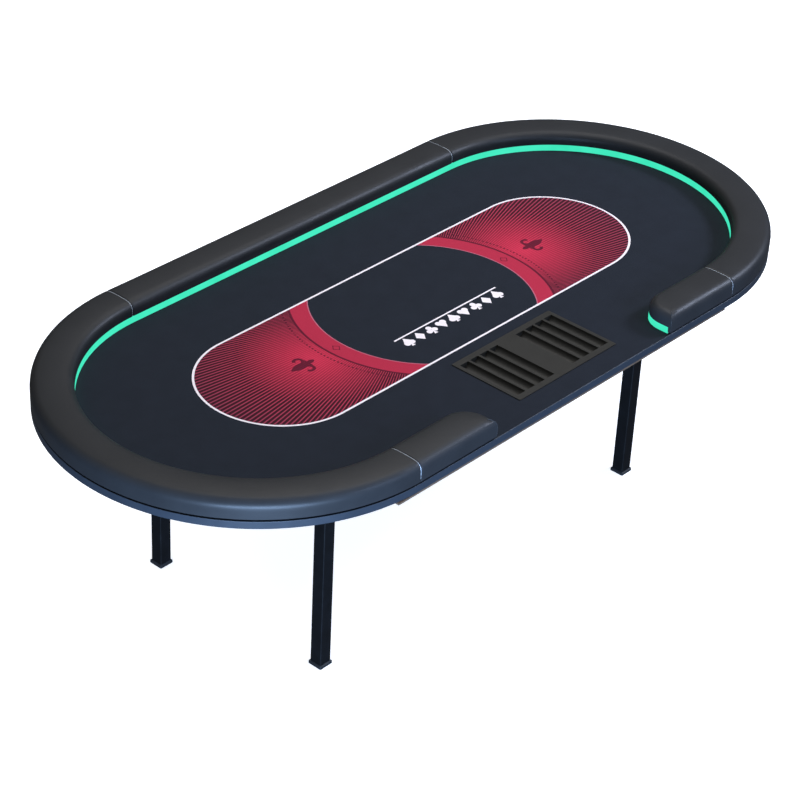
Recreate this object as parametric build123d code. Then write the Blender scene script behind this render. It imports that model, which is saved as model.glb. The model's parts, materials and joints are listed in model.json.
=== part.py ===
"""Oval folding poker table: padded C-shaped armrest with a light strip, cloth top, lift-out chip tray
and two folding leg frames with knuckle braces.

Frame: +X along the table, +Y away from the dealer, +Z up. The origin is on the floor under the
middle of the top. Every size is in millimetres.
"""

import math
import os

from build123d import *

# ---- the oval top ----
STRAIGHT_HALF = 665.0  # half the straight side, so the top is 2 x (665 + 600) = 2530 long
RADIUS = 600.0  # outer end radius, so the top is 1200 wide
CLOTH_TOP = 717.0  # height of the playing surface
CLOTH_THICK = 1.0
FOAM_THICK = 3.0
CORE_THICK = 18.0
SKIRT_THICK = 2.0  # vinyl band round the edge of the board
CORE_RADIUS = RADIUS - SKIRT_THICK
CLOTH_BOTTOM = CLOTH_TOP - CLOTH_THICK
FOAM_BOTTOM = CLOTH_BOTTOM - FOAM_THICK
CORE_BOTTOM = FOAM_BOTTOM - CORE_THICK

# ---- the armrest rail ----
RAIL_TOP = 780.0
RAIL_WIDTH = 118.0
RAIL_INNER = RADIUS - RAIL_WIDTH
DEALER_GAP_HALF = 375.0  # half the opening in front of the dealer
END_RADIUS = 78.0  # plan radius of the rail ends on their inner side
VINYL = 1.5
SHADOW_GAP = 6.0  # height of the dark groove under the rail
SHADOW_DEPTH = 8.0
RAIL_BOTTOM = CLOTH_TOP + SHADOW_GAP
RAIL_CORE_THICK = 18.0
RAIL_ROUND = 25.0
SEAM_X = 670.0  # the upholstery is sewn where the sides turn into the ends

# ---- the light strip in the foot of the rail's inner wall ----
CHANNEL_DEPTH = 10.0
CHANNEL_HEIGHT = 20.0
CHANNEL_WALL = 1.2
CHANNEL_END_RADIUS = RADIUS - 10.0  # it stops short of the rail end's outer corner
CHANNEL_TOP = CLOTH_TOP + CHANNEL_HEIGHT
DIFFUSER_THICK = 2.0
TAPE_WIDTH = 10.0
TAPE_THICK = 0.5
CHIP_SIZE = 5.0
CHIP_HEIGHT = 1.6
CHIPS_REAR = 27
CHIPS_END = 31

# ---- the chip tray ----
TRAY_X, TRAY_Y = 16.0, -403.0
TRAY_FLANGE = (416.0, 246.0)
TRAY_BODY = (402.0, 232.0)
TRAY_WALL = 2.5
TRAY_CLEARANCE = 1.0
TRAY_SKIRT_DEPTH = 14.0
TROUGH_RADIUS = 16.5  # half round: a 39 mm chip rests on both rims
TROUGH_DEPTH = 16.5
TROUGH_LENGTH = 206.0
TROUGH_PITCH = 41.0
TROUGHS_PER_GROUP = 4
GROUP_OFFSET = 117.5  # from the tray's middle to the middle of a group of troughs
TRAY_TOP = CLOTH_TOP + TRAY_WALL
TROUGH_AXIS = TRAY_TOP + TROUGH_RADIUS - TROUGH_DEPTH

# ---- the mounting board and its battens ----
BASE_X = -56.0  # the leg base sits a little off the middle of the top
BOARD_HALF = 696.0
BOARD_THICK = 6.0
BOARD_BOTTOM = CORE_BOTTOM - BOARD_THICK
BATTEN = (40.0, 30.0)
BATTEN_Y = 430.0
BATTEN_HALF = 680.0

# ---- the leg frames ----
LEG_SPREAD = 668.0  # from the base's middle to each frame
LEG_Y = 320.0
LEG_TUBE = 40.0
LEG_WALL = 1.5
FOOT = 48.0
FOOT_HEIGHT = 10.0
PLUG_DEPTH = 25.0
CAP_THICK = 2.5
PIVOT_Z = BOARD_BOTTOM - 34.0
LEG_ABOVE_PIVOT = 22.0
LEG_TOP = PIVOT_Z + LEG_ABOVE_PIVOT
ROUND_TUBE_RADIUS = 12.5
ROUND_TUBE_WALL = 1.5
RUNNING_CLEARANCE = 0.1
BLOCK_Y = 262.0
BLOCK_WIDTH = 30.0
BLOCK_RADIUS = 18.0
BLOCK_FLANGE = (35.0, 6.0)

# ---- the knuckle braces ----
BRACE_REACH = 200.0  # from the frame's pivot to the brace's pivot, along the table
BRACE_RISE = 22.0  # the brace's pivot is this much above the frame's
CROSS_DROP = 170.0  # the cross tube is this much below the frame's pivot
ARM_WIDTH = 16.0
ARM_THICK = 4.0
ARM_GAP = 0.5
PIN_RADIUS = 4.0
RIVET_HEAD = (7.0, 3.0)
SLEEVE_WALL = 4.0
SLEEVE_LENGTH = 15.0
EAR_THICK = 3.0

# ---- the light controller ----
BOX_X, BOX_Y = 240.0, 545.0
BOX = (80.0, 44.0, 20.0)
BOX_WALL = 1.8
BOX_BASE = (104.0, 44.0, 2.0)
BUTTON_RADIUS = 5.0
BUTTON_TRAVEL = 1.5
LEAD_RADIUS = 2.0
LEAD_BEND = 20.0
LEAD_HOLE = 3.0
LEAD_Y = RAIL_INNER + 4.2
LEAD_Z = BOARD_BOTTOM - 12.0


def brace_geometry():
    """Arm lengths and angles that make the knuckle straight when the leg stands, and flat when it's folded."""
    fall = BRACE_RISE + CROSS_DROP
    span = math.hypot(BRACE_REACH, fall)
    past = BRACE_REACH - CROSS_DROP
    upper = (span**2 - past**2 - BRACE_RISE**2) / (2 * (span - past))
    lower = span - upper
    standing = math.degrees(math.atan2(fall, BRACE_REACH))
    folded = 180.0 - math.degrees(math.atan2(BRACE_RISE, CROSS_DROP - BRACE_REACH + upper))
    return {
        "upper": upper,
        "lower": lower,
        "standing": standing,
        "upper_turn": -standing,
        "lower_turn": folded - standing - 90.0,
    }


BRACE = brace_geometry()


# ---- shared shapes ----
def oval(radius):
    """The top's outline with its ends at this radius."""
    return SlotCenterToCenter(2 * STRAIGHT_HALF, 2 * radius)


def slab(sketch, bottom, top):
    return extrude(Pos(0, 0, bottom) * sketch, top - bottom)


def block(x, y, z, size):
    """A box whose middle is at x, y and whose lowest face is at z."""
    return Pos(x, y, z + size[2] / 2) * Box(*size)


def rod_y(x, y0, y1, z, radius):
    """A round bar along Y."""
    return Pos(x, (y0 + y1) / 2, z) * Rot(90, 0, 0) * Cylinder(radius, abs(y1 - y0))


def rail_plan(outer_inset, inner_inset):
    """The C-shaped plan of the rail, drawn in from its outer wall and from its inner and end walls."""
    outer, inner = RADIUS - outer_inset, RAIL_INNER + inner_inset
    gap_half = DEALER_GAP_HALF + inner_inset
    gap = Pos(0, -(RADIUS + RAIL_INNER) / 2) * Rectangle(2 * gap_half, 2 * RAIL_WIDTH)
    plan = oval(outer) - oval(inner) - gap
    corners = [v for v in plan.vertices() if abs(abs(v.X) - gap_half) < 0.1 and abs(v.Y + inner) < 0.1]
    return fillet(corners, END_RADIUS - inner_inset)


def rail_body(inset, bottom, top):
    """The rail's outer shape with its top edges rounded over."""
    body = slab(rail_plan(inset, inset), bottom, top)
    return fillet(body.faces().sort_by(Axis.Z)[-1].edges(), RAIL_ROUND - inset)


def wall_band(near, far, bottom, top, end_radius=CHANNEL_END_RADIUS):
    """A band that follows the foot of the rail's inner and end walls, from near to far behind the wall."""
    band = (rail_plan(-1.0, near) - rail_plan(-1.0, far)) & oval(end_radius)
    return slab(band, bottom, top)


def square_tube(x, y, bottom, top, size, wall):
    outer = RectangleRounded(size, size, 3.0)
    inner = RectangleRounded(size - 2 * wall, size - 2 * wall, 3.0 - wall)
    return Pos(x, y) * slab(outer - inner, bottom, top)


def pan_screw(x, y, z, length, head=5.0, shank=2.4):
    """A screw driven upwards, with the underside of its head at z."""
    return Pos(x, y, z - 1.25) * Cylinder(head, 2.5) + Pos(x, y, z + length / 2) * Cylinder(shank, length)


# ---- the top ----
def tray_hole(bottom, top):
    size = [side + 2 * TRAY_CLEARANCE for side in TRAY_BODY]
    return Pos(TRAY_X, TRAY_Y) * slab(Rectangle(*size), bottom, top)


def lead_hole(bottom, top, radius=LEAD_HOLE):
    return Pos(BOX_X, LEAD_Y, (bottom + top) / 2) * Cylinder(radius, top - bottom)


def top_layer(radius, bottom, top):
    return slab(oval(radius), bottom, top) - tray_hole(bottom - 1, top + 1) - lead_hole(bottom - 1, top + 1)


def edge_skirt():
    band = slab(oval(RADIUS) - oval(CORE_RADIUS), CORE_BOTTOM, CLOTH_TOP)
    rim = band.faces().sort_by(Axis.Z)[-1].outer_wire().edges()
    return fillet(rim, 1.5)


def mounting_board():
    board = Pos(BASE_X, 0) * slab(Rectangle(2 * BOARD_HALF, 2 * RADIUS), BOARD_BOTTOM, CORE_BOTTOM)
    return board - lead_hole(BOARD_BOTTOM - 1, CORE_BOTTOM + 1, LEAD_HOLE + 2.0)


def batten(side):
    return block(BASE_X, side * BATTEN_Y, BOARD_BOTTOM - BATTEN[1], (2 * BATTEN_HALF, *BATTEN))


# ---- the rail ----
def rail_parts():
    """The riser, plywood core, foam and the five sewn covers."""
    riser = slab(rail_plan(SHADOW_DEPTH, CHANNEL_DEPTH + 8.0), CLOTH_TOP, RAIL_BOTTOM + VINYL)
    core_top = RAIL_BOTTOM + VINYL + RAIL_CORE_THICK
    recess = wall_band(-1.0, CHANNEL_DEPTH + VINYL, CLOTH_TOP, CHANNEL_TOP + VINYL, CHANNEL_END_RADIUS + VINYL)
    core = slab(rail_plan(VINYL, VINYL), RAIL_BOTTOM + VINYL, core_top) - recess
    foam = rail_body(VINYL, core_top, RAIL_TOP - VINYL)
    shell = rail_body(0.0, RAIL_BOTTOM, RAIL_TOP) - rail_body(VINYL, RAIL_BOTTOM + VINYL, RAIL_TOP - VINYL)
    lining = recess & slab(rail_plan(VINYL, VINYL), RAIL_BOTTOM + VINYL, RAIL_TOP)
    shell = shell + lining - wall_band(-1.0, CHANNEL_DEPTH, CLOTH_TOP, CHANNEL_TOP) - riser
    far = STRAIGHT_HALF + RADIUS
    reach = far - SEAM_X
    tall = (2 * RAIL_TOP,)
    ends = (reach, 2 * RADIUS + 2)
    middle = (SEAM_X + DEALER_GAP_HALF) / 2
    stub = (SEAM_X - DEALER_GAP_HALF, RADIUS + 1)
    sections = {
        "rail_cover_left_end": block(-SEAM_X - reach / 2, 0, 0, ends + tall),
        "rail_cover_right_end": block(SEAM_X + reach / 2, 0, 0, ends + tall),
        "rail_cover_rear": block(0, RADIUS / 2, 0, (2 * SEAM_X, RADIUS + 1) + tall),
        "rail_cover_front_left": block(-middle, -RADIUS / 2, 0, stub + tall),
        "rail_cover_front_right": block(middle, -RADIUS / 2, 0, stub + tall),
    }
    covers = {name: shell & section for name, section in sections.items()}
    return {"rail_riser": riser, "rail_core": core, "rail_foam": foam, **covers}


# ---- the light strip ----
def light_parts():
    """The aluminium channel, the tape with its lights, and the milky cover that shows."""
    channel = wall_band(DIFFUSER_THICK, CHANNEL_DEPTH, CLOTH_TOP, CHANNEL_TOP)
    inside = wall_band(
        DIFFUSER_THICK - 1, CHANNEL_DEPTH - CHANNEL_WALL, CLOTH_TOP + CHANNEL_WALL, CHANNEL_TOP - CHANNEL_WALL
    )
    channel = channel - inside - lead_hole(CLOTH_TOP - 1, CLOTH_TOP + CHANNEL_WALL + 1)
    back = CHANNEL_DEPTH - CHANNEL_WALL
    middle = CLOTH_TOP + CHANNEL_HEIGHT / 2
    tape = wall_band(back - TAPE_THICK, back, middle - TAPE_WIDTH / 2, middle + TAPE_WIDTH / 2)
    return {
        "led_channel": channel,
        "led_tape": tape,
        "led_chips": light_chips(RAIL_INNER + back - TAPE_THICK - CHIP_HEIGHT, middle),
        "led_diffuser": wall_band(0.0, DIFFUSER_THICK, CLOTH_TOP, CHANNEL_TOP),
    }


def light_chips(radius, z):
    """The lights on the tape: a row along the rear side and a fan round each end."""
    chip = Box(CHIP_SIZE, CHIP_HEIGHT, CHIP_SIZE)
    chips = []
    for i in range(CHIPS_REAR):
        x = STRAIGHT_HALF * (2 * (i + 0.5) / CHIPS_REAR - 1)
        chips.append(Pos(x, radius + CHIP_HEIGHT / 2, z) * chip)
    for side in (-1, 1):
        for i in range(CHIPS_END):
            turn = side * 180.0 * (i + 0.5) / CHIPS_END
            chips.append(Pos(side * STRAIGHT_HALF, 0, z) * Rot(0, 0, -turn) * Pos(0, radius + CHIP_HEIGHT / 2) * chip)
    return Compound(children=chips)


def lead_path():
    """From the controller's wall, along under the board, and up through the top into the channel."""
    start = BOX_Y - BOX[1] / 2
    points = [(BOX_X, start, LEAD_Z), (BOX_X, LEAD_Y, LEAD_Z), (BOX_X, LEAD_Y, CLOTH_TOP + CHANNEL_WALL + 2)]
    return FilletPolyline(*points, radius=LEAD_BEND)


def led_lead():
    path = lead_path()
    return sweep(Plane(path @ 0, z_dir=path % 0) * Circle(LEAD_RADIUS), path)


# ---- the chip tray ----
def trough_places():
    for group in (-1, 1):
        for i in range(TROUGHS_PER_GROUP):
            yield TRAY_X + group * GROUP_OFFSET + (i - (TROUGHS_PER_GROUP - 1) / 2) * TROUGH_PITCH


def chip_tray():
    """A moulded flange with a skirt under it and eight round-bottomed troughs."""
    flange = Pos(TRAY_X, TRAY_Y) * slab(RectangleRounded(*TRAY_FLANGE, 3.0), CLOTH_TOP, TRAY_TOP)
    outer = Rectangle(*TRAY_BODY)
    inner = Rectangle(*[side - 2 * TRAY_WALL for side in TRAY_BODY])
    tray = flange + Pos(TRAY_X, TRAY_Y) * slab(outer - inner, CLOTH_TOP - TRAY_SKIRT_DEPTH, CLOTH_TOP + 1)
    front, back = TRAY_Y - TROUGH_LENGTH / 2, TRAY_Y + TROUGH_LENGTH / 2
    below = Pos(TRAY_X, TRAY_Y) * slab(Rectangle(*TRAY_BODY), CLOTH_TOP - 2 * TROUGH_RADIUS, TRAY_TOP)
    outer_radius = TROUGH_RADIUS + TRAY_WALL
    for x in trough_places():
        tray = tray + (rod_y(x, front - TRAY_WALL, back + TRAY_WALL, TROUGH_AXIS, outer_radius) & below)
    for x in trough_places():
        tray = tray - rod_y(x, front, back, TROUGH_AXIS, TROUGH_RADIUS)
    return tray


# ---- the leg frames ----
def frame_x(side):
    return BASE_X + side * LEG_SPREAD


def leg(side, y):
    return square_tube(frame_x(side), y, FOOT_HEIGHT, LEG_TOP - CAP_THICK, LEG_TUBE, LEG_WALL)


def foot(side, y):
    """A moulded foot that plugs into the leg's lower end."""
    pad = slab(RectangleRounded(FOOT, FOOT, 4.0), 0, FOOT_HEIGHT)
    pad = chamfer(pad.faces().sort_by(Axis.Z)[-1].edges(), 3.0)
    plug = LEG_TUBE - 2 * LEG_WALL - 2 * RUNNING_CLEARANCE
    return Pos(frame_x(side), y) * (pad + slab(RectangleRounded(plug, plug, 1.4), FOOT_HEIGHT - 1, PLUG_DEPTH))


def leg_caps(side):
    """The caps that close the two legs' upper ends."""
    plug = LEG_TUBE - 2 * LEG_WALL - 2 * RUNNING_CLEARANCE
    cap = slab(RectangleRounded(LEG_TUBE, LEG_TUBE, 3.0), LEG_TOP - CAP_THICK, LEG_TOP)
    cap = cap + slab(RectangleRounded(plug, plug, 1.4), LEG_TOP - CAP_THICK - 12, LEG_TOP - 1)
    return Compound(children=[Pos(frame_x(side), y) * cap for y in (-LEG_Y, LEG_Y)])


def round_tube(side, z):
    """A round tube between the two legs of a frame."""
    half = LEG_Y - LEG_TUBE / 2
    x = frame_x(side)
    outer = rod_y(x, -half, half, z, ROUND_TUBE_RADIUS)
    return outer - rod_y(x, -half, half, z, ROUND_TUBE_RADIUS - ROUND_TUBE_WALL)


def pivot_block(side, y):
    """The bearing that hangs a frame's pivot tube under the board."""
    x = frame_x(side)
    half = BLOCK_WIDTH / 2
    bearing = rod_y(x, y - half, y + half, PIVOT_Z, BLOCK_RADIUS)
    web = block(x, y, PIVOT_Z, (2 * BLOCK_RADIUS, BLOCK_WIDTH, BOARD_BOTTOM - PIVOT_Z))
    flange = block(x, y, BOARD_BOTTOM - BLOCK_FLANGE[1], (2 * BLOCK_FLANGE[0], BLOCK_WIDTH, BLOCK_FLANGE[1]))
    bore = rod_y(x, y - half - 1, y + half + 1, PIVOT_Z, ROUND_TUBE_RADIUS + RUNNING_CLEARANCE)
    return bearing + web + flange - bore


def block_screws():
    """The screws that hold the four pivot blocks and the two brace brackets."""
    screws = []
    for side in (-1, 1):
        for dx in (-27.0, 27.0):
            for y in (-BLOCK_Y, BLOCK_Y):
                screws.append(pan_screw(frame_x(side) + dx, y, BOARD_BOTTOM - BLOCK_FLANGE[1], 22))
        for dy in (-18.0, 22.0):
            screws.append(pan_screw(brace_x(side), dy, BOARD_BOTTOM - EAR_THICK, 18))
    return Compound(children=screws)


# ---- the braces ----
def brace_x(side):
    return frame_x(side) - side * BRACE_REACH


def brace_bracket(side):
    """A folded plate with two ears for the brace's pin."""
    x, z = brace_x(side), PIVOT_Z + BRACE_RISE
    plate = block(x, 2, BOARD_BOTTOM - EAR_THICK, (24, 54, EAR_THICK))
    bracket = plate
    for y in (-ARM_GAP - EAR_THICK, ARM_THICK + ARM_GAP):
        ear = block(x, y + EAR_THICK / 2, z, (20, EAR_THICK, BOARD_BOTTOM - z))
        ear = ear + rod_y(x, y, y + EAR_THICK, z, 10)
        bracket = bracket + ear
    return bracket - rod_y(x, -30, 30, z, PIN_RADIUS + 0.05)


def brace_pin(side):
    """The pin through the bracket's ears, with a head at each end."""
    x, z = brace_x(side), PIVOT_Z + BRACE_RISE
    low, high = -ARM_GAP - EAR_THICK, ARM_THICK + ARM_GAP + EAR_THICK
    pin = rod_y(x, low - 2, high + 2, z, PIN_RADIUS)
    return pin + rod_y(x, low - 2, low, z, 6) + rod_y(x, high, high + 2, z, 6)


def arm_bar(length, y0, y1):
    """A flat bar with round ends, from the origin out along +X."""
    bar = Pos(length / 2, 0) * SlotCenterToCenter(length, ARM_WIDTH)
    return Pos(0, y1, 0) * Rot(90, 0, 0) * extrude(bar, y1 - y0)


def placed(shape, x, z, angle):
    """The shape turned up by angle from +X towards +Z, and moved to x, z."""
    return Pos(x, 0, z) * Rot(0, -angle, 0) * shape


def upper_arm(side):
    arm = arm_bar(BRACE["upper"], 0, ARM_THICK)
    arm = arm + rod_y(BRACE["upper"], ARM_THICK, ARM_THICK + RIVET_HEAD[1], 0, RIVET_HEAD[0])
    arm = arm - rod_y(0, -1, ARM_THICK + 1, 0, PIN_RADIUS + 0.05)
    angle = 180 + BRACE["standing"] if side < 0 else -BRACE["standing"]
    return placed(arm, brace_x(side), PIVOT_Z + BRACE_RISE, angle)


def lower_arm(side):
    low, high = -ARM_GAP - ARM_THICK, -ARM_GAP
    arm = arm_bar(BRACE["lower"], low, high)
    arm = arm + rod_y(BRACE["lower"], low - RIVET_HEAD[1], low, 0, RIVET_HEAD[0])
    bore = ROUND_TUBE_RADIUS + RUNNING_CLEARANCE
    arm = arm + rod_y(0, high - SLEEVE_LENGTH, high, 0, bore + SLEEVE_WALL)
    arm = arm - rod_y(0, high - SLEEVE_LENGTH - 1, high + 1, 0, bore)
    angle = BRACE["standing"] if side < 0 else 180 - BRACE["standing"]
    return placed(arm, frame_x(side), PIVOT_Z - CROSS_DROP, angle)


# ---- the light controller ----
def controller_parts():
    """A small box under the rear edge, with its base plate, board, inlet, grommet and button."""
    top = BOARD_BOTTOM - BOX_BASE[2]
    bottom = top - BOX[2]
    inner = [BOX[0] - 2 * BOX_WALL, BOX[1] - 2 * BOX_WALL, BOX[2]]
    case = block(BOX_X, BOX_Y, bottom, BOX)
    case = fillet(case.edges().filter_by(Axis.Z), 4.0) - block(BOX_X, BOX_Y, bottom + BOX_WALL, inner)
    front, back = BOX_Y - BOX[1] / 2, BOX_Y + BOX[1] / 2
    inlet_z = bottom + BOX[2] / 2
    inlet_x, button_x = BOX_X + 22, BOX_X - 20
    case = case - rod_y(BOX_X, front - 1, front + BOX_WALL + 1, LEAD_Z, 4.0)
    case = case - rod_y(inlet_x, back - BOX_WALL - 1, back + 1, inlet_z, 4.5)
    case = case - Pos(button_x, BOX_Y, bottom) * Cylinder(BUTTON_RADIUS + 0.2, 10)
    base = block(BOX_X, BOX_Y, top, BOX_BASE)
    board = block(BOX_X, BOX_Y, top - 5, (70, 36, 1.6))
    inlet = rod_y(inlet_x, back - 11, back, inlet_z, 4.5) + rod_y(inlet_x, back, back + 1.5, inlet_z, 6.0)
    inlet = inlet - rod_y(inlet_x, back - 9, back + 2, inlet_z, 2.75)
    inlet = inlet + rod_y(inlet_x, back - 9.5, back, inlet_z, 1.0)
    grommet = rod_y(BOX_X, front - 3, front, LEAD_Z, 5.5) + rod_y(BOX_X, front, front + BOX_WALL, LEAD_Z, 4.0)
    grommet = grommet - rod_y(BOX_X, front - 4, front + 4, LEAD_Z, LEAD_RADIUS)
    button = Pos(button_x, BOX_Y, bottom + 0.5) * Cylinder(BUTTON_RADIUS, 5.0)
    button = button + Pos(button_x, BOX_Y, bottom + BOX_WALL + 0.9) * Cylinder(BUTTON_RADIUS + 1.5, 1.2)
    screws = [pan_screw(BOX_X + dx, BOX_Y, top, 12, head=3.5, shank=1.6) for dx in (-46, 46)]
    return {
        "controller_case": case,
        "controller_base": base,
        "controller_board": board,
        "power_inlet": inlet,
        "lead_grommet": grommet,
        "power_button": button,
        "controller_screws": Compound(children=screws),
    }


# ---- the screws that hold the top together ----
def rail_screws():
    """From below, through the top and the riser into the rail's plywood core."""
    ring = (RADIUS + RAIL_INNER) / 2
    tip = RAIL_BOTTOM + VINYL + 13
    screws = []
    for x in (-560, -330, 0, 330, 560):
        screws.append(pan_screw(x, ring, BOARD_BOTTOM, tip - BOARD_BOTTOM))
    for x in (-560, -430, 430, 560):
        screws.append(pan_screw(x, -ring, BOARD_BOTTOM, tip - BOARD_BOTTOM))
    for side in (-1, 1):
        for turn in (35, 62, 90, 118, 145):
            x = side * (STRAIGHT_HALF + ring * math.sin(math.radians(turn)))
            y = ring * math.cos(math.radians(turn))
            screws.append(pan_screw(x, y, CORE_BOTTOM, tip - CORE_BOTTOM))
    return Compound(children=screws)


def board_screws():
    """The mounting board and the battens are screwed up into the core board."""
    screws = []
    for x in (-690, -430, -170, 90, 350, 580):
        for y in (-150, 150):
            screws.append(pan_screw(x, y, BOARD_BOTTOM, 20))
        under_tray = abs(x - TRAY_X) < TRAY_BODY[0] / 2 + 10
        for side in (1,) if under_tray else (-1, 1):
            screws.append(pan_screw(x, side * BATTEN_Y, BOARD_BOTTOM - BATTEN[1], 50))
    return Compound(children=screws)


def all_parts():
    parts = {
        "core_board": top_layer(CORE_RADIUS, CORE_BOTTOM, FOAM_BOTTOM),
        "foam_underlay": top_layer(CORE_RADIUS, FOAM_BOTTOM, CLOTH_BOTTOM),
        "playing_cloth": top_layer(CORE_RADIUS, CLOTH_BOTTOM, CLOTH_TOP),
        "edge_skirt": edge_skirt(),
        "mounting_board": mounting_board(),
        "front_batten": batten(-1),
        "rear_batten": batten(1),
        **rail_parts(),
        **light_parts(),
        "led_lead": led_lead(),
        **controller_parts(),
        "chip_tray": chip_tray(),
        "block_screws": block_screws(),
        "rail_screws": rail_screws(),
        "board_screws": board_screws(),
    }
    for side, name in ((-1, "left"), (1, "right")):
        for y, end in ((-LEG_Y, "front"), (LEG_Y, "rear")):
            parts[f"{name}_{end}_leg"] = leg(side, y)
            parts[f"{name}_{end}_foot"] = foot(side, y)
            block_y = math.copysign(BLOCK_Y, y)
            parts[f"{name}_{end}_pivot_block"] = pivot_block(side, block_y)
        parts[f"{name}_leg_caps"] = leg_caps(side)
        parts[f"{name}_pivot_tube"] = round_tube(side, PIVOT_Z)
        parts[f"{name}_cross_tube"] = round_tube(side, PIVOT_Z - CROSS_DROP)
        parts[f"{name}_brace_bracket"] = brace_bracket(side)
        parts[f"{name}_brace_pin"] = brace_pin(side)
        parts[f"{name}_brace_upper_arm"] = upper_arm(side)
        parts[f"{name}_brace_lower_arm"] = lower_arm(side)
    return parts


os.makedirs("parts", exist_ok=True)
for part_name, shape in all_parts().items():
    export_step(shape, f"parts/{part_name}.step")
print("lead bend radius", LEAD_BEND, "lead length", round(lead_path().length, 1))
print("brace", {name: round(value, 3) for name, value in BRACE.items()})
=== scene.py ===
"""The looks of an oval poker table.

It has a sewn vinyl armrest, printed speed cloth, a lit strip, a chip tray and folding legs. Every size is in
metres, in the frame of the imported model: +X along the table, +Y away from the dealer, +Z up.
"""
import json
import math

import bmesh
import bpy
from mathutils import Matrix, Vector


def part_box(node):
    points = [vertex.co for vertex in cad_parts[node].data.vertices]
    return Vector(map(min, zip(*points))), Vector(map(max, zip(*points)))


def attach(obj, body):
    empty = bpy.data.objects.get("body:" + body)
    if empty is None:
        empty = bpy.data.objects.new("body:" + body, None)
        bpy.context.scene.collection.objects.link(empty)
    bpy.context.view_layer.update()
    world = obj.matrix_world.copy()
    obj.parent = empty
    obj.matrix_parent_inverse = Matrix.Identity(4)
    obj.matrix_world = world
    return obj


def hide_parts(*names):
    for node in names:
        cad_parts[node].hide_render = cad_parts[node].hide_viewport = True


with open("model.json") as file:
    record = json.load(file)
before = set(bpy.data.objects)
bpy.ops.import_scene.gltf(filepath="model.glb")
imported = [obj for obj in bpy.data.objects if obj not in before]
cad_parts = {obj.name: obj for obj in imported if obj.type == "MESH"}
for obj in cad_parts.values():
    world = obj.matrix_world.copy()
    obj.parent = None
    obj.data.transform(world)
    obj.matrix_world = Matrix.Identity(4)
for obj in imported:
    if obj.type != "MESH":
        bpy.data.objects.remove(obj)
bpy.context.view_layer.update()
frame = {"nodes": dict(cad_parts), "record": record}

MM = 0.001
TINY = 1e-5

# ---- the table's driving sizes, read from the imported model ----
end_low, end_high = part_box("rail_cover_left_end")
stub_low, stub_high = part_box("rail_cover_front_right")
light_low, light_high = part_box("led_diffuser")
cloth_low, cloth_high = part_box("playing_cloth")
core_low, core_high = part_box("core_board")
foam_low, foam_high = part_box("rail_foam")
tray_low, tray_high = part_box("chip_tray")
board_low, board_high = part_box("mounting_board")

RADIUS = end_high[1]
STRAIGHT_HALF = -end_low[0] - RADIUS
RAIL_BOTTOM, RAIL_TOP = end_low[2], end_high[2]
RAIL_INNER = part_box("rail_cover_rear")[0][1]
GAP_HALF = stub_low[0]
SEAM_X = -end_high[0]
LIGHT_TOP = light_high[2]
LIGHT_END = -light_low[1]
CLOTH_TOP = cloth_high[2]
CLOTH_RADIUS = cloth_high[1]
CORE_BOTTOM = core_low[2]
END_RADIUS = 78 * MM  # plan radius of the rail ends on their inner side


# ---- shared making ----
def linear(code):
    """An sRGB hex colour as linear RGBA."""
    parts = [int(code[i:i + 2], 16) / 255 for i in (0, 2, 4)]
    return [c / 12.92 if c <= 0.04045 else ((c + 0.055) / 1.055) ** 2.4 for c in parts] + [1.0]


def add(tree, kind, feeds=None, out=0, **settings):
    """Adds a node with its settings, feeds its sockets with links or values, and returns one of its outputs."""
    node = tree.nodes.new(kind)
    for name, value in settings.items():
        setattr(node, name, value)
    for socket, value in (feeds or {}).items():
        if isinstance(value, bpy.types.NodeSocket):
            tree.links.new(value, node.inputs[socket])
        else:
            node.inputs[socket].default_value = value
    return node.outputs[out]


def new_material(name):
    """An empty node material and its tree."""
    material = bpy.data.materials.new(name)
    material.use_nodes = True
    material.node_tree.nodes.clear()
    return material, material.node_tree


def close_material(tree, feeds):
    """Ends a material with a Principled shader fed as given."""
    shader = add(tree, "ShaderNodeBsdfPrincipled", feeds)
    output = tree.nodes.new("ShaderNodeOutputMaterial")
    tree.links.new(shader, output.inputs["Surface"])


def finish(name, tones, tone_mm, rough, grain, grain_mm, grain_depth, stretch=(1, 1, 1), **extra):
    """A finish with drifting tone, roughness that follows it, and a raised grain.

    grain is "pebble" for leather cells, "speckle" for moulded or sprayed texture and "streak" for drawn lines.
    """
    material, tree = new_material(name)
    place = add(tree, "ShaderNodeTexCoord", out="Object")
    place = add(tree, "ShaderNodeMapping", {"Vector": place, "Scale": stretch})
    drift = add(tree, "ShaderNodeTexNoise", {"Vector": place, "Scale": 1 / (tone_mm * MM), "Detail": 4.0})
    colour = add(tree, "ShaderNodeMix", {0: drift, 6: linear(tones[0]), 7: linear(tones[1])}, out=2,
                 data_type="RGBA")
    gloss = add(tree, "ShaderNodeMapRange", {0: drift, 1: 0.3, 2: 0.7, 3: rough[0], 4: rough[1]})
    scale = 1 / (grain_mm * MM)
    if grain == "pebble":
        height = add(tree, "ShaderNodeTexVoronoi", {"Vector": place, "Scale": scale, "Randomness": 0.9},
                     feature="SMOOTH_F1")
    else:
        height = add(tree, "ShaderNodeTexNoise", {"Vector": place, "Scale": scale, "Detail": 2.0})
    bump = add(tree, "ShaderNodeBump", {"Height": height, "Strength": 1.0, "Distance": grain_depth * MM})
    close_material(tree, {"Base Color": colour, "Roughness": gloss, "Normal": bump, **extra})
    return material


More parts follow.
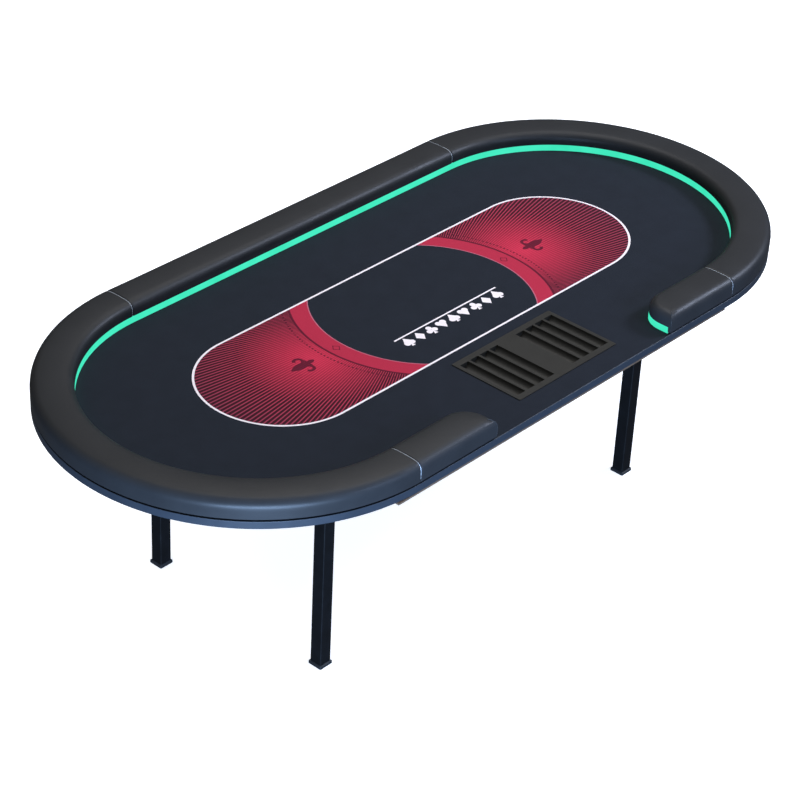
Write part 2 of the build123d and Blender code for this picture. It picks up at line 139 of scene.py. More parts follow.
# ---- the printed cloth ----
LINE_HALF = 573 * MM  # half the straight side of the white betting line
LINE_RADIUS = 236 * MM
LINE_WIDTH = 6.5 * MM
DISC_RADIUS = 328 * MM
RING_RADIUS = 386 * MM
DOT_RING = 409 * MM
DOT_PITCH = 12 * MM
DIAMOND_X = 356 * MM
FLOWER_X = 482 * MM
FLOWER_SIZE = 1.4
RAYS = 380
GLOW_X = 440 * MM  # where the crimson is brightest
PIP_PITCH = 47 * MM
PIPS_EACH_SIDE = 4
PIP_ROW_Y = -118 * MM
PIP_SIZE = 1.3
OVERLINE_Y = -88 * MM
OVERLINE_HALF = 215 * MM

CLOTH_DARK, CLOTH_LIGHT = "1a1e26", "20252e"
CRIMSON, BAND_RED, WINE, RAY_PINK = "d2334f", "b02a43", "38101b", "86394f"
RING_WINE, EDGE_PINK, PRINT_WHITE = "541026", "b9697c", "f2e9ec"


def print_steps():
    """The sums behind the print: each row is a name, a maths operation and what it works on."""
    rows = []

    def length(name, a, b):
        rows.extend([("square", "MULTIPLY", a, a), ("square", "MULTIPLY_ADD", b, b, "square"),
                     (name, "SQRT", "square")])

    # the betting line, an oval round the middle
    rows.extend([("side", "ABSOLUTE", "x"), ("past", "SUBTRACT", "side", LINE_HALF),
                 ("past", "MAXIMUM", "past", 0.0)])
    length("oval", "past", "y")
    rows.extend([("in_oval", "LESS_THAN", "oval", LINE_RADIUS),
                 ("on_line", "COMPARE", "oval", LINE_RADIUS, LINE_WIDTH / 2)])
    # the dark disc, its rings and its rays
    length("reach", "x", "y")
    rows.extend([
        ("out_of_disc", "GREATER_THAN", "reach", DISC_RADIUS),
        ("wing", "MULTIPLY", "in_oval", "out_of_disc"),
        ("turn", "ARCTAN2", "y", "side"),
        ("beat", "MULTIPLY", "turn", RAYS),
        ("beat", "COSINE", "beat"),
        ("disc_edge", "COMPARE", "reach", DISC_RADIUS + 1.5 * MM, 1.5 * MM),
        ("band", "COMPARE", "reach", (DISC_RADIUS + RING_RADIUS) / 2, (RING_RADIUS - DISC_RADIUS) / 2),
        ("ring", "COMPARE", "reach", RING_RADIUS, 3.4 * MM),
        # dots round the ring
        ("step", "MULTIPLY", "turn", DOT_RING / DOT_PITCH),
        ("step", "FRACT", "step"),
        ("step", "SUBTRACT", "step", 0.5),
        ("step", "MULTIPLY", "step", DOT_PITCH),
        ("rise", "SUBTRACT", "reach", DOT_RING),
    ])
    length("dot", "step", "rise")
    rows.extend([
        ("dot", "LESS_THAN", "dot", 3.1 * MM),
        # the small diamond outlines
        ("high", "ABSOLUTE", "y"),
        ("across", "SUBTRACT", "side", DIAMOND_X),
        ("across", "ABSOLUTE", "across"),
        ("across", "DIVIDE", "across", 13.5 * MM),
        ("diamond", "MULTIPLY_ADD", "high", 1 / (15 * MM), "across"),
        ("diamond", "COMPARE", "diamond", 0.88, 0.12),
        # the flower: a pointed petal, two curls, a band and a tail
        ("out", "SUBTRACT", "side", FLOWER_X),
        ("out", "DIVIDE", "out", FLOWER_SIZE),
        ("tall", "DIVIDE", "high", FLOWER_SIZE),
        ("petal_x", "SUBTRACT", "out", 10 * MM),
        ("petal_y", "ADD", "tall", 28.8 * MM),
    ])
    length("petal", "petal_x", "petal_y")
    rows.extend([("petal", "LESS_THAN", "petal", 38.8 * MM), ("tail_x", "ADD", "out", 17 * MM),
                 ("tail_y", "ADD", "tall", 5.6 * MM)])
    length("tail", "tail_x", "tail_y")
    rows.extend([("tail", "LESS_THAN", "tail", 11.4 * MM), ("curl_x", "SUBTRACT", "out", 1 * MM),
                 ("curl_y", "SUBTRACT", "tall", 16 * MM)])
    length("curl", "curl_x", "curl_y")
    rows.extend([
        ("curl", "COMPARE", "curl", 9 * MM, 3.3 * MM),
        ("open", "SUBTRACT", "curl_x", "curl_y"),
        ("open", "LESS_THAN", "open", 6 * MM),
        ("curl", "MULTIPLY", "curl", "open"),
        ("tie", "COMPARE", "out", -10 * MM, 2.4 * MM),
        ("tie_end", "LESS_THAN", "tall", 12 * MM),
        ("tie", "MULTIPLY", "tie", "tie_end"),
        ("petal", "MAXIMUM", "petal", "tail"),
        ("flower", "MAXIMUM", "petal", "curl"),
        ("flower", "MAXIMUM", "flower", "tie"),
        # how far from the brightest part of a wing
        ("glow_x", "SUBTRACT", "side", GLOW_X),
    ])
    length("from_glow", "glow_x", "y")
    # the row of card suits under its line
    rows.extend([
        ("over", "COMPARE", "y", OVERLINE_Y, 2.7 * MM), ("over_end", "LESS_THAN", "side", OVERLINE_HALF),
        ("over", "MULTIPLY", "over", "over_end"),
        ("pip", "DIVIDE", "x", PIP_PITCH), ("pip", "ROUND", "pip"),
        ("pip_x", "MULTIPLY", "pip", -PIP_PITCH), ("pip_x", "ADD", "x", "pip_x"),
        ("pip_x", "ABSOLUTE", "pip_x"), ("pip_x", "DIVIDE", "pip_x", PIP_SIZE),
        ("pip_y", "SUBTRACT", "y", PIP_ROW_Y), ("pip_y", "DIVIDE", "pip_y", PIP_SIZE),
        ("pip", "ABSOLUTE", "pip"), ("row", "LESS_THAN", "pip", PIPS_EACH_SIDE + 0.5),
        ("foot_y", "COMPARE", "pip_y", -6.5 * MM, 9.5 * MM),
        ("foot_w", "MULTIPLY_ADD", "pip_y", -0.42, -1.6 * MM), ("foot_w", "MAXIMUM", "foot_w", 1.4 * MM),
        ("foot", "LESS_THAN", "pip_x", "foot_w"), ("foot", "MULTIPLY", "foot", "foot_y"),
    ])
    for name, flip, lift in (("heart", 1.0, 0.0), ("spade", -1.0, 3.5 * MM)):
        rows.extend([("up", "MULTIPLY_ADD", "pip_y", flip, lift), ("lobe_x", "SUBTRACT", "pip_x", 6.8 * MM),
                     ("lobe_y", "SUBTRACT", "up", 6.5 * MM)])
        length("lobe", "lobe_x", "lobe_y")
        rows.extend([("lobe", "LESS_THAN", "lobe", 7.6 * MM), ("taper", "MULTIPLY_ADD", "up", 0.68, 10.3 * MM),
                     ("taper", "LESS_THAN", "pip_x", "taper"), ("low", "LESS_THAN", "up", 4.6 * MM),
                     ("taper", "MULTIPLY", "taper", "low"), (name, "MAXIMUM", "lobe", "taper")])
    rows.extend([("spade", "MAXIMUM", "spade", "foot"), ("leaf_y", "SUBTRACT", "pip_y", 8.5 * MM)])
    length("leaf", "pip_x", "leaf_y")
    rows.extend([("leaf", "LESS_THAN", "leaf", 7 * MM), ("side_x", "SUBTRACT", "pip_x", 8 * MM),
                 ("side_y", "ADD", "pip_y", 2.5 * MM)])
    length("side_leaf", "side_x", "side_y")
    rows.extend([
        ("side_leaf", "LESS_THAN", "side_leaf", 7 * MM), ("club", "MAXIMUM", "leaf", "side_leaf"),
        ("club", "MAXIMUM", "club", "foot"),
        ("flat", "ABSOLUTE", "pip_y"), ("flat", "MULTIPLY", "flat", 0.78), ("flat", "ADD", "flat", "pip_x"),
        ("gem", "LESS_THAN", "flat", 12.5 * MM),
    ])
    suits = (("spade", 0), ("heart", 1), ("club", 2), ("gem", 3), ("spade", 4))
    rows.append(("suits", "MULTIPLY", "row", 0.0))
    for suit, k in suits:
        rows.extend([("is_suit", "COMPARE", "pip", float(k), 0.4), ("is_suit", "MULTIPLY", "is_suit", suit),
                     ("suits", "MAXIMUM", "suits", "is_suit")])
    rows.extend([
        ("white", "MAXIMUM", "suits", "over"), ("white", "MAXIMUM", "white", "on_line"),
        ("disc_edge", "MULTIPLY", "disc_edge", "in_oval"), ("band", "MULTIPLY", "band", "wing"),
        ("marks", "MAXIMUM", "ring", "dot"), ("marks", "MAXIMUM", "marks", "diamond"),
        ("marks", "MAXIMUM", "marks", "flower"), ("marks", "MULTIPLY", "marks", "wing"),
    ])
    return rows


def printed_cloth():
    """Polyester speed cloth, dye-printed: matt, with a fine woven grid that dulls the ink."""
    material, tree = new_material("printed_speed_cloth")
    place = add(tree, "ShaderNodeTexCoord", out="Object")
    split = tree.nodes.new("ShaderNodeSeparateXYZ")
    tree.links.new(place, split.inputs[0])
    value = {"x": split.outputs[0], "y": split.outputs[1]}
    for name, operation, *terms in print_steps():
        feeds = {i: value[t] if isinstance(t, str) else t for i, t in enumerate(terms)}
        value[name] = add(tree, "ShaderNodeMath", feeds, operation=operation)
    drift = add(tree, "ShaderNodeTexNoise", {"Vector": place, "Scale": 1 / (60 * MM), "Detail": 5.0})
    colour = add(tree, "ShaderNodeMix", {0: drift, 6: linear(CLOTH_DARK), 7: linear(CLOTH_LIGHT)}, out=2,
                 data_type="RGBA")
    fade = add(tree, "ShaderNodeMapRange", {0: value["from_glow"], 1: -60 * MM, 2: 215 * MM, 3: 0.0, 4: 1.0})
    late = add(tree, "ShaderNodeMapRange", {0: value["from_glow"], 1: 60 * MM, 2: 400 * MM, 3: 0.0, 4: 1.0})
    ink = add(tree, "ShaderNodeMix", {0: fade, 6: linear(CRIMSON), 7: linear(WINE)}, out=2, data_type="RGBA")
    pink = add(tree, "ShaderNodeMix", {0: late, 6: linear(CRIMSON), 7: linear(RAY_PINK)}, out=2,
               data_type="RGBA")
    ray = add(tree, "ShaderNodeMapRange", {0: value["beat"], 1: 0.2, 2: 0.85, 3: 0.0, 4: 1.0})
    ink = add(tree, "ShaderNodeMix", {0: ray, 6: ink, 7: pink}, out=2, data_type="RGBA")
    for mask, strength, layer in (("wing", 1.0, ink), ("band", 1.0, linear(BAND_RED)),
                                  ("marks", 0.92, linear(RING_WINE)), ("disc_edge", 0.9, linear(EDGE_PINK)),
                                  ("white", 1.0, linear(PRINT_WHITE))):
        share = add(tree, "ShaderNodeMath", {0: value[mask], 1: strength}, operation="MULTIPLY")
        colour = add(tree, "ShaderNodeMix", {0: share, 6: colour, 7: layer}, out=2, data_type="RGBA")
    # a 0.4 mm thread is too fine to show, so the weave is drawn at 1.6 mm
    threads = []
    for axis in ("X", "Y"):
        threads.append(add(tree, "ShaderNodeTexWave", {"Vector": place, "Scale": 0.3142 / (1.6 * MM)},
                           out="Fac", bands_direction=axis))
    weave = add(tree, "ShaderNodeMath", {0: threads[0], 1: threads[1]}, operation="MULTIPLY")
    shade = add(tree, "ShaderNodeMapRange", {0: weave, 1: 0.0, 2: 1.0, 3: 0.86, 4: 1.06})
    colour = add(tree, "ShaderNodeVectorMath", {0: colour, "Scale": shade}, operation="SCALE")
    bump = add(tree, "ShaderNodeBump", {"Height": weave, "Strength": 1.0, "Distance": 0.12 * MM})
    close_material(tree, {"Base Color": colour, "Roughness": 0.92, "Normal": bump, "Specular IOR Level": 0.12,
                          "Sheen Weight": 0.02, "Sheen Roughness": 0.5})
    return material


# ---- the other finishes ----
def lit_cover():
    """Milky acrylic with lights close behind it: bright, a little brighter over each lamp."""
    material, tree = new_material("lit_opal_acrylic")
    place = add(tree, "ShaderNodeTexCoord", out="Object")
    spots = add(tree, "ShaderNodeTexNoise", {"Vector": place, "Scale": 1 / (50 * MM), "Detail": 1.0})
    glow = add(tree, "ShaderNodeMix", {0: spots, 6: linear("30d6a8"), 7: linear("4aeac2")}, out=2,
               data_type="RGBA")
    close_material(tree, {"Base Color": linear("12382e"), "Roughness": 0.4, "Emission Color": glow,
                          "Emission Strength": 1.1})
    return material


def wood(name, tones, grain_mm):
    """Sawn wood with its grain along X."""
    material, tree = new_material(name)
    place = add(tree, "ShaderNodeTexCoord", out="Object")
    place = add(tree, "ShaderNodeMapping", {"Vector": place, "Scale": (0.06, 1.0, 1.0)})
    grain = add(tree, "ShaderNodeTexNoise", {"Vector": place, "Scale": 1 / (grain_mm * MM), "Detail": 6.0,
                                             "Distortion": 0.6})
    line = add(tree, "ShaderNodeMapRange", {0: grain, 1: 0.35, 2: 0.65, 3: 0.0, 4: 1.0})
    colour = add(tree, "ShaderNodeMix", {0: line, 6: linear(tones[0]), 7: linear(tones[1])}, out=2,
                 data_type="RGBA")
    bump = add(tree, "ShaderNodeBump", {"Height": grain, "Strength": 1.0, "Distance": 0.25 * MM})
    close_material(tree, {"Base Color": colour, "Roughness": 0.62, "Normal": bump})
    return material


FINISHES = {
    # upholstery vinyl: pressed with a fine leather pebble, satin
    "rail_vinyl": finish("pebbled_upholstery_vinyl", ("1f2022", "262729"), 90, (0.40, 0.48), "pebble", 1.8,
                         0.12, **{"Specular IOR Level": 0.22}),
    "skirt_vinyl": finish("smooth_edge_vinyl", ("23282f", "2a3038"), 60, (0.36, 0.44), "pebble", 1.2, 0.05,
                          **{"Specular IOR Level": 0.3}),
    "foam": finish("upholstery_foam", ("b8b09a", "cfc8b4"), 20, (0.9, 0.95), "speckle", 1.5, 0.6),
    "board": wood("film_faced_birch_plywood", ("2a1d15", "3a2a1f"), 9),
    "hardboard": wood("dark_hardboard", ("4a3b2f", "5d4b3b"), 3),
    "batten_wood": wood("stained_pine", ("2c221b", "43342a"), 7),
    "riser_wood": wood("black_painted_plywood", ("0d0e10", "16181b"), 6),
    "diffuser": lit_cover(),
    "channel_aluminium": finish("extruded_aluminium", ("b5b8bc", "c6c9cc"), 8, (0.3, 0.42), "streak", 0.8, 0.02,
                                (0.05, 1, 1), Metallic=1.0),
    "tape": finish("white_flexible_circuit", ("dcdcd6", "eeeeea"), 12, (0.4, 0.5), "speckle", 1.0, 0.03),
    "light_chips": finish("phosphor_lamp", ("bff7e4", "d8fff2"), 3, (0.2, 0.3), "speckle", 0.6, 0.02),
    "lead": finish("black_lead_sheath", ("0b0c0d", "141517"), 10, (0.45, 0.6), "speckle", 0.6, 0.04),
    # injection-moulded plastics with a spark-eroded texture
    "black_plastic": finish("moulded_black_nylon", ("101214", "191c1f"), 14, (0.5, 0.62), "speckle", 0.8, 0.07),
    "tray_plastic": finish("moulded_tray_plastic", ("1f1e1b", "262522"), 40, (0.38, 0.48), "speckle", 1.0, 0.05,
                           **{"Specular IOR Level": 0.25}),
    "foot_plastic": finish("moulded_foot_plastic", ("08090b", "0e1013"), 16, (0.55, 0.68), "speckle", 1.2, 0.1),
    "inlet_plastic": finish("gloss_socket_plastic", ("0a0a0b", "121214"), 6, (0.2, 0.3), "speckle", 0.6, 0.02),
    "button_plastic": finish("gloss_button_plastic", ("8b8e93", "989ba0"), 6, (0.25, 0.35), "speckle", 0.6,
                             0.02),
    "grommet_rubber": finish("moulded_rubber", ("0c0c0d", "131314"), 6, (0.7, 0.8), "speckle", 0.7, 0.04),
    "circuit_board": finish("green_solder_mask", ("0f4a26", "176b38"), 5, (0.3, 0.4), "speckle", 1.2, 0.05),
    # powder coat: baked on, with a light orange peel
    "leg_steel": finish("black_powder_coat", ("060708", "0a0b0e"), 30, (0.40, 0.52), "speckle", 1.6, 0.09,
                        **{"Specular IOR Level": 0.2}),
    "brace_steel": finish("zinc_plated_strip", ("8f9398", "a8acb0"), 6, (0.32, 0.48), "streak", 1.2, 0.03,
                          (0.1, 1, 0.1), Metallic=1.0),
    "pin_steel": finish("turned_steel", ("9a9da1", "b4b7ba"), 4, (0.25, 0.35), "streak", 0.6, 0.02,
                        Metallic=1.0),
    "screw_steel": finish("zinc_plated_screw", ("93979b", "b0b3b6"), 3, (0.3, 0.42), "speckle", 0.5, 0.02,
                          Metallic=1.0),
    "cloth": printed_cloth(),
}
# a stiff narrow welt rolled over a cord; its pale grey colour is a painted highlight, standing for the light
# line that runs along each seam
SEAM_HIGHLIGHT_FINISH = finish("seam_welt_painted_highlight", ("9aa2ab", "aeb6bf"), 12, (0.3, 0.4), "pebble", 1.2, 0.04)
SLOT_OF = {part["node"]: part["material_slot"] for part in frame["record"]["subparts"]}
for node_name, node_object in frame["nodes"].items():
    node_object.data.materials.clear()
    node_object.data.materials.append(FINISHES[SLOT_OF[node_name]])


def new_piece(name, bm, slot_name, body="top", smooth=True):
    """Turns a bmesh into a piece with its finish, riding on a body."""
    mesh = bpy.data.meshes.new(name)
    bm.to_mesh(mesh)
    bm.free()
    mesh.polygons.foreach_set("use_smooth", [smooth] * len(mesh.polygons))
    mesh.materials.append(FINISHES[slot_name])
    piece = bpy.data.objects.new(name, mesh)
    bpy.context.collection.objects.link(piece)
    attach(piece, body)
    return piece


def walk(bm, start, moves):
    """A closed wire, drawn by straight moves (to x, y in steps) and turns (centre x, y, degrees in steps)."""
    tip = bm.verts.new(start)
    for kind, x, y, *rest in moves:
        if kind == "line":
            step = (Vector((x, y, tip.co.z)) - tip.co) / rest[0]
            made = bmesh.ops.spin(bm, geom=[tip], cent=tip.co, axis=(0, 0, 1), dvec=step, angle=0,
                                  steps=rest[0])
        else:
            made = bmesh.ops.spin(bm, geom=[tip], cent=(x, y, tip.co.z), axis=(0, 0, 1),
                                  angle=math.radians(rest[0]), steps=rest[1])
        tip = made["geom_last"][0]
    bmesh.ops.remove_doubles(bm, verts=bm.verts[:], dist=TINY)


def oval(radius, steps=96):
    """The moves round an oval from its front left, turning anticlockwise."""
    return ((-STRAIGHT_HALF, -radius), (
        ("line", STRAIGHT_HALF, -radius, steps), ("turn", STRAIGHT_HALF, 0, 180, steps),
        ("line", -STRAIGHT_HALF, radius, steps), ("turn", -STRAIGHT_HALF, 0, 180, steps)))


# ---- the armrest ----
def edge_distance(point):
    """How far a point is inside the table's outer edge."""
    return RADIUS - math.hypot(max(abs(point.x) - STRAIGHT_HALF, 0), point.y)


def wall_distance(point):
    """How far a point on the rail is inside the nearest of its outer, inner and end walls."""
    outside = edge_distance(point)
    nearest = min(outside, RADIUS - RAIL_INNER - outside)
    if point.y < 0 and abs(point.x) < STRAIGHT_HALF:
        nearest = min(nearest, abs(point.x) - GAP_HALF)
        centre_x, centre_y = GAP_HALF + END_RADIUS, RAIL_INNER + END_RADIUS
        if abs(point.x) < centre_x and -point.y < centre_y:
            nearest = END_RADIUS - math.hypot(abs(point.x) - centre_x, -point.y - centre_y)
    return nearest


ROUNDING = 25 * MM
CROWN = 1.5 * MM
BOTTOM_RING = 8 * MM  # a ring of faces round the rail's underside
SQUARE_STEP = 42 * MM  # a long first step at the square corners, so that the insets never pass a vertex
END_STEPS, REAR_STEPS, STUB_STEPS, CORNER_STEPS = 110, 70, 14, 12
WALL_ROWS, SHOULDER_ROWS = 4, 7
TOP_RING, TOP_RINGS, TOP_CUTS = 6 * MM, 2, 3


def rail_shell(inset, bottom, top, rounding, crown):
    """The rail as one closed crowned form: an upright wall, a rounded shoulder and a gently domed top."""
    outer, inner, gap = RADIUS - inset, RAIL_INNER + inset, GAP_HALF + inset
    corner = END_RADIUS - inset
    square = gap + SQUARE_STEP
    bm = bmesh.new()
    walk(bm, (-gap, -outer, bottom), (
        ("line", -square, -outer, 1), ("line", -STRAIGHT_HALF, -outer, STUB_STEPS),
        ("turn", -STRAIGHT_HALF, 0, -180, END_STEPS), ("line", STRAIGHT_HALF, outer, REAR_STEPS),
        ("turn", STRAIGHT_HALF, 0, -180, END_STEPS), ("line", square, -outer, STUB_STEPS),
        ("line", gap, -outer, 1), ("line", gap, -inner - corner, 1),
        ("turn", gap + corner, -inner - corner, -90, CORNER_STEPS),
        ("line", STRAIGHT_HALF, -inner, CORNER_STEPS), ("turn", STRAIGHT_HALF, 0, 180, END_STEPS),
        ("line", -STRAIGHT_HALF, inner, REAR_STEPS), ("turn", -STRAIGHT_HALF, 0, 180, END_STEPS),
        ("line", -gap - corner, -inner, CORNER_STEPS),
        ("turn", -gap - corner, -inner - corner, -90, CORNER_STEPS), ("line", -gap, -outer, 1)))
    face = bmesh.ops.contextual_create(bm, geom=bm.edges[:])["faces"][0]
    if face.normal.z < 0:
        face.normal_flip()
    shoulder = top - crown - rounding
    for row in range(WALL_ROWS):
        made = bmesh.ops.extrude_face_region(bm, geom=[face])["geom"]
        if row:  # the face that a row starts from would stay inside the rail
            bmesh.ops.delete(bm, geom=[face], context="FACES_ONLY")
        else:
            bmesh.ops.inset_region(bm, faces=[face], thickness=BOTTOM_RING, use_boundary=True,
                                   use_even_offset=True)
        face = [part for part in made if isinstance(part, bmesh.types.BMFace)][0]
        bmesh.ops.translate(bm, verts=face.verts[:], vec=(0, 0, (shoulder - bottom) / WALL_ROWS))
    for i in range(SHOULDER_ROWS):
        a, b = (math.pi / 2 * k / SHOULDER_ROWS for k in (i, i + 1))
        inward, upward = math.cos(a) - math.cos(b), math.sin(b) - math.sin(a)
        bmesh.ops.inset_region(bm, faces=[face], thickness=rounding * inward, depth=rounding * upward,
                               use_boundary=True, use_even_offset=True)
    for _ in range(TOP_RINGS):
        bmesh.ops.inset_region(bm, faces=[face], thickness=TOP_RING, use_boundary=True, use_even_offset=True)
    made = bmesh.ops.triangulate(bm, faces=[face])
    bmesh.ops.subdivide_edges(bm, edges=made["edges"], cuts=TOP_CUTS, use_grid_fill=True)
    flat = (outer - inner) / 2 - rounding
    for vert in bm.verts:
        if vert.co.z > top - crown - TINY:
            share = min((wall_distance(vert.co) - inset - rounding) / flat, 1)
            vert.co.z = top - crown * (1 - max(share, 0)) ** 2
    bmesh.ops.recalc_face_normals(bm, faces=bm.faces[:])
    return bm


OVER_LIGHT = 0.3 * MM  # between the light and the rail's raised foot
LIGHT_STEP = 0.4 * MM  # the foot climbs over the light within this length


def lift_over_light(bm, bottom, shoulder):
    """Raises the foot of the inner and end walls to the top of the light strip."""
    low = LIGHT_TOP + OVER_LIGHT
    for y in (LIGHT_END + LIGHT_STEP, LIGHT_END):
        walls = [face for face in bm.faces if abs(abs(face.calc_center_median().x) - GAP_HALF) < BOTTOM_RING
                 and len(face.verts) < 9]
        parts = dict.fromkeys(walls)
        for face in walls:
            parts.update(dict.fromkeys([*face.edges, *face.verts]))
        bmesh.ops.bisect_plane(bm, geom=list(parts), plane_co=(0, -y, 0), plane_no=(0, 1, 0), dist=TINY)
    for vert in bm.verts:
        if vert.co.z < shoulder and edge_distance(vert.co) > RADIUS - LIGHT_END - TINY:
            share = (vert.co.z - bottom) / (shoulder - bottom)
            vert.co.z = low + share * (shoulder - low)


def cut_at(bm, x):
    """Adds a row of vertices across the rail."""
    bmesh.ops.bisect_plane(bm, geom=bm.verts[:] + bm.edges[:] + bm.faces[:], plane_co=(x, 0, 0),
                           plane_no=(1, 0, 0), dist=TINY)


INFLATE_STEPS = 10
INFLATE_LIMIT = 1.4 * MM
EVEN_OUT = 12  # passes that spread the pull of the cloth evenly


def inflate(bm, pinned):
    """Presses the vinyl outwards over its foam with a short cloth simulation, held where it is pinned."""
    mesh = bpy.data.meshes.new("vinyl_in_tension")
    bm.to_mesh(mesh)
    work = bpy.data.objects.new("vinyl_in_tension", mesh)
    bpy.context.collection.objects.link(work)
    group = work.vertex_groups.new(name="held")
    group.add([i for i, vert in enumerate(bm.verts) if pinned(vert.co)], 1.0, "REPLACE")
    cloth = work.modifiers.new("cloth", "CLOTH")
    cloth.settings.quality = 5
    cloth.settings.mass = 0.5
    cloth.settings.tension_stiffness = 60
    cloth.settings.compression_stiffness = 60
    cloth.settings.shear_stiffness = 20
    cloth.settings.bending_stiffness = 6
    cloth.settings.use_pressure = True
    cloth.settings.uniform_pressure_force = 2.5
    cloth.settings.vertex_group_mass = "held"
    cloth.settings.effector_weights.gravity = 0
    cloth.point_cache.frame_end = INFLATE_STEPS
    for step in range(1, INFLATE_STEPS + 1):
        bpy.context.scene.frame_set(step)
    held = work.evaluated_get(bpy.context.evaluated_depsgraph_get()).to_mesh()
    moves = [pressed.co - vert.co for vert, pressed in zip(bm.verts, held.vertices)]
    free = [not pinned(vert.co) for vert in bm.verts]
    bm.verts.index_update()
    for _ in range(EVEN_OUT):
        moves = [sum((moves[edge.other_vert(vert).index] for edge in vert.link_edges), moves[i])
                 / (len(vert.link_edges) + 1) if free[i] else moves[i] for i, vert in enumerate(bm.verts)]
    for vert, move in zip(bm.verts, moves):
        vert.co += move * min(1, INFLATE_LIMIT / max(move.length, TINY))
    bpy.context.scene.frame_set(1)
    bpy.data.objects.remove(work)
    bpy.data.meshes.remove(mesh)


SEAM_DEPTH = 2.6 * MM
SEAM_HALF = 7 * MM
SEAM_ROWS = (0, 0.7, 1.6, 3.0, 5.0, 9.0)  # rows of vertices on each side of a seam, in mm


def draw_in_seams(bm):
    """Pulls the vinyl in along the four sewn seams."""
    for side in (-1, 1):
        for offset in SEAM_ROWS:
            for way in (-1, 1):
                cut_at(bm, side * SEAM_X + way * offset * MM)
    bm.normal_update()
    moves = []
    for vert in bm.verts:
        away = abs(abs(vert.co.x) - SEAM_X)
        if away < SEAM_HALF and vert.co.z > RAIL_BOTTOM + MM:
            share = (1 - away / SEAM_HALF) ** 3
            moves.append((vert, vert.normal * -SEAM_DEPTH * share))
    for vert, move in moves:
        vert.co += move


def rail_section(whole, name, low_x, high_x, side):
    """One sewn panel of the rail, between two planes across it, closed where it meets its neighbour."""
    bm = whole.copy()
    for x, way in ((low_x, -1), (high_x, 1)):
        if abs(x) < STRAIGHT_HALF + RADIUS:
            bmesh.ops.bisect_plane(bm, geom=bm.verts[:] + bm.edges[:] + bm.faces[:], plane_co=(x, 0, 0),
                                   plane_no=(way, 0, 0), dist=TINY, clear_outer=True)
    if side:
        lost = [face for face in bm.faces if face.calc_center_median().y * side < 0]
        bmesh.ops.delete(bm, geom=lost, context="FACES")
    bmesh.ops.holes_fill(bm, edges=[edge for edge in bm.edges if edge.is_boundary], sides=0)
    piece = new_piece("sewn_" + name, bm, "rail_vinyl")
    piece.data.set_sharp_from_angle(angle=math.radians(50))
    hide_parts(name)


WELT_RADIUS = 1.2 * MM


def sewn_welt(label, chain, rolled):
    """A thin raised welt that follows a row of the rail's vertices."""
    curve = bpy.data.curves.new("welt_" + label, "CURVE")
    curve.dimensions = "3D"
    curve.bevel_depth = WELT_RADIUS
    curve.bevel_resolution = 2
    curve.use_fill_caps = True
    spline = curve.splines.new("POLY")
    spline.points.add(len(chain) - 1)
    for point, vert in zip(spline.points, chain):
        point.co = (*vert.co, 1)
    draft = bpy.data.objects.new("welt_draft", curve)
    bpy.context.collection.objects.link(draft)
    bm = bmesh.new()
    bm.from_mesh(draft.to_mesh())
    bpy.data.objects.remove(draft)
    bpy.data.curves.remove(curve)
    new_piece("welt_" + label, bm, "rail_vinyl").data.materials[0] = rolled


def seam_row(whole, side_x, side_y):
    """The vertices along a seam, over the rail from its outer foot to its inner one."""
    middle = (RADIUS + RAIL_INNER) / 2
    row = [v for v in whole.verts if abs(v.co.x - side_x * SEAM_X) < 0.3 * MM and v.co.y * side_y > 0
           and v.co.z > RAIL_BOTTOM + 2 * MM]
    return sorted(row, key=lambda v: math.atan2(v.co.z - RAIL_BOTTOM, abs(v.co.y) - middle))


def corner_row(whole, side_x):
    """The vertices up the square outer corner of a rail end."""
    row = [v for v in whole.verts if v.co.y < 0 and v.co.x * side_x > 0 and v.co.z > RAIL_BOTTOM + 2 * MM
           and abs(side_x * v.co.x - GAP_HALF - RADIUS - v.co.y) < MM and v.co.y < ROUNDING - RADIUS]
    return sorted(row, key=lambda v: v.co.z)


INNER_BAND = 12 * MM  # farther inside the edge than this, a low point is on the inner wall
HELD_OUTSIDE = 9 * MM  # the outer wall is stapled up to this height over its foot
HELD_INSIDE = 6 * MM  # the inner wall is stapled up to this height over the light
FOAM_INSET = 4 * MM
FOAM_DROP = 2 * MM


def is_held(place):
    """Whether the vinyl is stapled or sewn at a point."""
    if edge_distance(place) > INNER_BAND:
        stapled_to = LIGHT_TOP + HELD_INSIDE
    else:
        stapled_to = RAIL_BOTTOM + HELD_OUTSIDE
    return place.z < stapled_to or abs(abs(place.x) - SEAM_X) < TINY


shoulder_z = RAIL_TOP - CROWN - ROUNDING
rail = rail_shell(0.0, RAIL_BOTTOM, RAIL_TOP, ROUNDING, CROWN)
lift_over_light(rail, RAIL_BOTTOM, shoulder_z)
for seam in (-SEAM_X, SEAM_X):
    cut_at(rail, seam)
rail.verts.ensure_lookup_table()
inflate(rail, is_held)
draw_in_seams(rail)
far = STRAIGHT_HALF + RADIUS + 1
for section in (("rail_cover_left_end", -far, -SEAM_X, 0), ("rail_cover_right_end", SEAM_X, far, 0),
                ("rail_cover_rear", -SEAM_X, SEAM_X, 1),
                ("rail_cover_front_left", -SEAM_X, -GAP_HALF + MM, -1),
                ("rail_cover_front_right", GAP_HALF - MM, SEAM_X, -1)):
    rail_section(rail, *section)
for side_x, end in ((-1, "left"), (1, "right")):
    # the four seam welts take the pale grey painted highlight finish; the corner welts keep the rail's own dark
    # vinyl
    sewn_welt(end + "_front_seam", seam_row(rail, side_x, -1), SEAM_HIGHLIGHT_FINISH)
    sewn_welt(end + "_rear_seam", seam_row(rail, side_x, 1), SEAM_HIGHLIGHT_FINISH)
    sewn_welt(end + "_corner", corner_row(rail, side_x), FINISHES["rail_vinyl"])
rail.free()

padding = rail_shell(FOAM_INSET, foam_low[2], foam_high[2] - FOAM_DROP, ROUNDING - FOAM_INSET, CROWN)
padding = new_piece("rail_padding", padding, "foam")
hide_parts("rail_foam")


